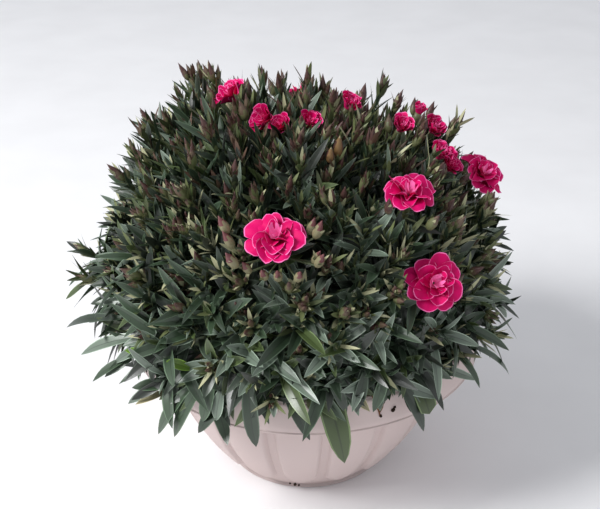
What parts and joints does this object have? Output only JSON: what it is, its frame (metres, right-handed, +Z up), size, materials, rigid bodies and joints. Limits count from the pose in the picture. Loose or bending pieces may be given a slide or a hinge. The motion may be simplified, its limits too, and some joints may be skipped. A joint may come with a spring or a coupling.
{
  "type": "potted dianthus",
  "caption": "Dense rounded dianthus plant with narrow blue-green leaves, pointed buds and open double pink blooms, in a round bowl pot with panelled sides.",
  "frame": {"origin": "centre of the bowl's flat underside, on the surface that it stands on", "axes": "+Z up through the middle of the bowl; -Y is the side that faces the viewer; +X is to the viewer's right"},
  "size_m": [0.3048, 0.2965, 0.2764],
  "materials": {
    "bowl_plastic": "matt pinkish taupe moulded plastic with a faint satin sheen",
    "compost": "dark moist crumbly compost",
    "stems": "green to woody tan stems, matt",
    "foliage": "narrow waxy blue-green leaves, matt with a pale bloom",
    "buds": "yellow-green buds with maroon pink tips, satin",
    "blossom": "crimson pink petals with thin pale edges, velvety"
  },
  "bodies": {
    "root": {"bough_side_1": "stems", "bough_side_2": "stems", "bough_side_3": "stems", "bough_side_4": "stems", "bough_side_5": "stems", "bough_side_6": "stems", "bough_skirt_1": "stems", "bough_skirt_2": "stems", "bough_skirt_3": "stems", "bough_skirt_4": "stems", "bough_skirt_5": "stems", "bough_skirt_6": "stems", "bough_skirt_7": "stems", "bough_skirt_8": "stems", "bough_upper_1": "stems", "bough_upper_2": "stems", "bough_upper_3": "stems", "crown_stem": "stems", "foliage_side_1": "foliage", "foliage_side_2": "foliage", "foliage_side_3": "foliage", "foliage_side_4": "foliage", "foliage_side_5": "foliage", "foliage_side_6": "foliage", "foliage_skirt_1": "foliage", "foliage_skirt_2": "foliage", "foliage_skirt_3": "foliage", "foliage_skirt_4": "foliage", "foliage_skirt_5": "foliage", "foliage_skirt_6": "foliage", "foliage_skirt_7": "foliage", "foliage_skirt_8": "foliage", "foliage_upper_1": "foliage", "foliage_upper_2": "foliage", "foliage_upper_3": "foliage", "pot": "bowl_plastic", "soil": "compost"}
  },
  "joints": []
}
